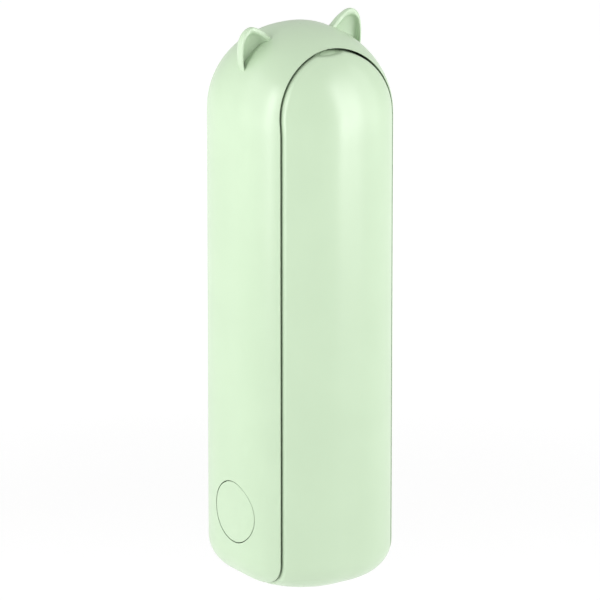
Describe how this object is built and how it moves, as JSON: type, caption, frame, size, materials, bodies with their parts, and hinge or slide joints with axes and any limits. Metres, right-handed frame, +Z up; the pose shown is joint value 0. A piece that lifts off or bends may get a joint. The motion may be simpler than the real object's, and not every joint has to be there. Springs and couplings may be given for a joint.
{
  "type": "folding handheld fan",
  "caption": "Pocket fan with a domed, eared handle and a front arm that folds out on a foot hinge and carries a two-blade propeller.",
  "frame": {"origin": "centre of the flat foot that the folded fan stands on", "axes": "+Z up from the foot to the ears, -Y out of the arm's front panel, +X to the charging port's side"},
  "size_m": [0.041, 0.044, 0.138],
  "materials": {
    "mint_shell": "satin moulded ABS, pastel mint",
    "mint_inner": "fine-textured ABS, pastel mint",
    "blade_plastic": "smooth off-white plastic",
    "light_pipe": "milky light-pipe plastic",
    "circuit_board": "green solder mask",
    "chip_black": "black moulded epoxy",
    "dark_steel": "blackened steel",
    "steel": "zinc-plated",
    "nickel": "rolled nickel strip",
    "brass": "turned brass",
    "copper": "enamelled copper winding",
    "cell_wrap": "shrink sleeve",
    "foam": "open-cell foam",
    "red_wire": "silicone insulation",
    "black_wire": "silicone insulation"
  },
  "bodies": {
    "handle": {"handle_shell": "mint_shell", "handle_inner_cover": "mint_inner", "charge_indicator": "light_pipe", "control_board": "circuit_board", "main_chip": "chip_black", "tact_switch": "dark_steel", "usb_c_port": "steel", "battery_cell": "cell_wrap", "cell_tab_low": "nickel", "cell_tab_high": "nickel", "cell_foam_pad": "foam", "cover_screw_1": "steel", "cover_screw_2": "steel", "cover_screw_3": "steel", "cover_screw_4": "steel", "cell_lead_high": "red_wire", "cell_lead_low": "black_wire", "motor_cable_handle": "black_wire", "hinge_pin_left": "mint_shell", "hinge_pin_right": "mint_shell", "hinge_clip_left": "steel", "hinge_clip_right": "steel"},
    "button": {"power_button": "blade_plastic"},
    "arm": {"arm_shell": "mint_shell", "arm_inner_cover": "mint_inner", "hinge_bush_left": "brass", "hinge_bush_right": "brass", "friction_washer_left": "dark_steel", "friction_washer_right": "dark_steel", "arm_screw_1": "steel", "arm_screw_2": "steel", "arm_screw_3": "steel", "arm_screw_4": "steel", "heel_screw": "steel", "motor_cable_arm": "black_wire", "motor_base": "dark_steel", "motor_screw_1": "steel", "motor_screw_2": "steel", "bearing_rear": "steel", "bearing_front": "steel", "stator_core": "dark_steel", "stator_coil_1": "copper", "stator_coil_2": "copper", "stator_coil_3": "copper", "stator_coil_4": "copper", "stator_coil_5": "copper", "stator_coil_6": "copper"},
    "rotor": {"motor_shaft": "steel", "rotor_bell": "steel", "magnet_ring": "dark_steel", "propeller": "blade_plastic", "hub_cap": "mint_shell"}
  },
  "joints": [
    {"name": "arm_fold", "type": "hinge", "parent": "handle", "child": "arm", "pos_m": [0, -0.0017, 0.018], "axis": [1, 0, 0], "range_deg": [0, 180]},
    {"name": "propeller_spin", "type": "hinge", "parent": "arm", "child": "rotor", "pos_m": [0, -0.009, 0.0862], "axis": [0, 1, 0], "range_deg": [-8, 8]},
    {"name": "power_button_press", "type": "slide", "parent": "handle", "child": "button", "axis": [0, 1, 0], "range_m": [0, 0.0005], "stiffness_N_per_m": 1000}
  ]
}
